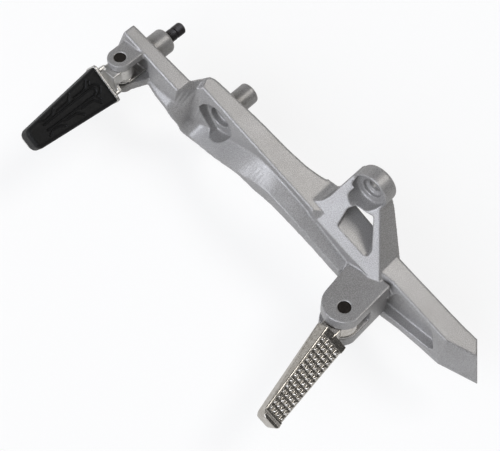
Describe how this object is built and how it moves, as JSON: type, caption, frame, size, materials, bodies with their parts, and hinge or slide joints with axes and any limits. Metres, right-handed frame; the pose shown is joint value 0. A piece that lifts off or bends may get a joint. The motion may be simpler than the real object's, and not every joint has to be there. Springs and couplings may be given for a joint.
{
  "type": "motorcycle footpeg bracket",
  "caption": "Cast aluminium footpeg bracket for a motorcycle, with a rubber-covered folding peg in front and a bare knurled folding peg behind.",
  "frame": {"origin": "centre of the front boss's end face, at the root of the mounting stud", "axes": "+X along the arm towards the rear, +Y inboard along the mounting stud, +Z square to the arm's flat top"},
  "size_m": [0.3813, 0.1793, 0.0974],
  "materials": {
    "cast_aluminium": "satin",
    "black_steel": "satin",
    "zinc_steel": "satin",
    "rubber": "matte",
    "peg_core": "satin",
    "polished_aluminium": "polished"
  },
  "bodies": {
    "bracket": {"bracket_casting": "cast_aluminium", "mounting_stud": "black_steel", "front_clevis_pin": "black_steel", "front_pin_washer": "zinc_steel", "front_pin_clip": "zinc_steel", "front_return_spring": "zinc_steel", "rear_clevis_pin": "black_steel", "rear_pin_washer": "zinc_steel", "rear_pin_clip": "zinc_steel", "rear_detent_plate": "zinc_steel"},
    "front_peg": {"front_peg_core": "peg_core", "front_peg_rubber": "rubber", "front_peg_screws": "zinc_steel"},
    "rear_peg": {"rear_peg": "polished_aluminium", "rear_detent_plunger": "zinc_steel", "rear_detent_spring": "zinc_steel"}
  },
  "joints": [
    {"name": "front_peg_fold", "type": "hinge", "parent": "bracket", "child": "front_peg", "pos_m": [-0.0017, -0.0455, 0], "axis": [-0.3907, 0, 0.9205], "range_deg": [0, 60], "stiffness_Nm_per_rad": 0.25, "springref_deg": -40.11, "deforming": ["front_return_spring"]},
    {"name": "rear_peg_fold", "type": "hinge", "parent": "bracket", "child": "rear_peg", "pos_m": [0.2487, -0.046, -0.0049], "axis": [-0.3907, 0, 0.9205], "range_deg": [0, 85]}
  ]
}
